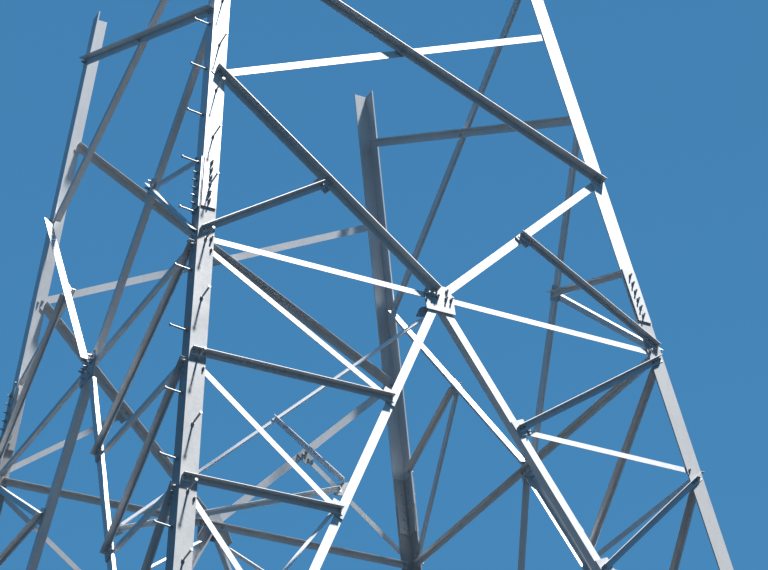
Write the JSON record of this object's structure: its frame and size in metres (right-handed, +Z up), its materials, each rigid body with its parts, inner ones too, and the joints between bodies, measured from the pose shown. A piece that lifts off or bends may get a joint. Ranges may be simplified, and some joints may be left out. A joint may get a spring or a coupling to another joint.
{
  "type": "lattice transmission pylon",
  "caption": "Square tapering lattice tower of bolted galvanised steel angles, with crossed and K-shaped bracing, standing up to its bare leg ends.",
  "frame": {"origin": "middle of the four feet, on the ground under the sole plates", "axes": "+Z up, X along the front side (the one the picture looks at), -Y out of the front side"},
  "size_m": [10.768, 10.768, 25.38],
  "materials": {
    "leg_steel": "galvanised, evenly weathered",
    "brace_steel": "galvanised, fresh and pale",
    "tie_steel": "galvanised, fresh and pale",
    "plate_steel": "galvanised, slightly duller than the bars",
    "foot_steel": "galvanised, dull"
  },
  "bodies": {
    "root": {"back_girts": "brace_steel", "back_inner_braces": "brace_steel", "back_inner_ties": "tie_steel", "back_outer_braces": "brace_steel", "back_outer_ties": "tie_steel", "back_plates": "plate_steel", "foot_back_left": "foot_steel", "foot_back_right": "foot_steel", "foot_front_left": "foot_steel", "foot_front_right": "foot_steel", "front_girts": "brace_steel", "front_inner_braces": "brace_steel", "front_inner_ties": "tie_steel", "front_outer_braces": "brace_steel", "front_outer_ties": "tie_steel", "front_plates": "plate_steel", "hip_bars": "tie_steel", "hip_plates": "plate_steel", "left_girts": "brace_steel", "left_inner_braces": "brace_steel", "left_inner_ties": "tie_steel", "left_outer_braces": "brace_steel", "left_outer_ties": "tie_steel", "left_plates": "plate_steel", "lower_leg_back_left": "leg_steel", "lower_leg_back_right": "leg_steel", "lower_leg_covers": "plate_steel", "lower_leg_front_left": "leg_steel", "lower_leg_front_right": "leg_steel", "middle_leg_back_left": "leg_steel", "middle_leg_back_right": "leg_steel", "middle_leg_front_left": "leg_steel", "middle_leg_front_right": "leg_steel", "right_girts": "brace_steel", "right_inner_braces": "brace_steel", "right_inner_ties": "tie_steel", "right_outer_braces": "brace_steel", "right_outer_ties": "tie_steel", "right_plates": "plate_steel", "upper_leg_back_left": "leg_steel", "upper_leg_back_right": "leg_steel", "upper_leg_covers": "plate_steel", "upper_leg_front_left": "leg_steel", "upper_leg_front_right": "leg_steel"}
  },
  "joints": []
}
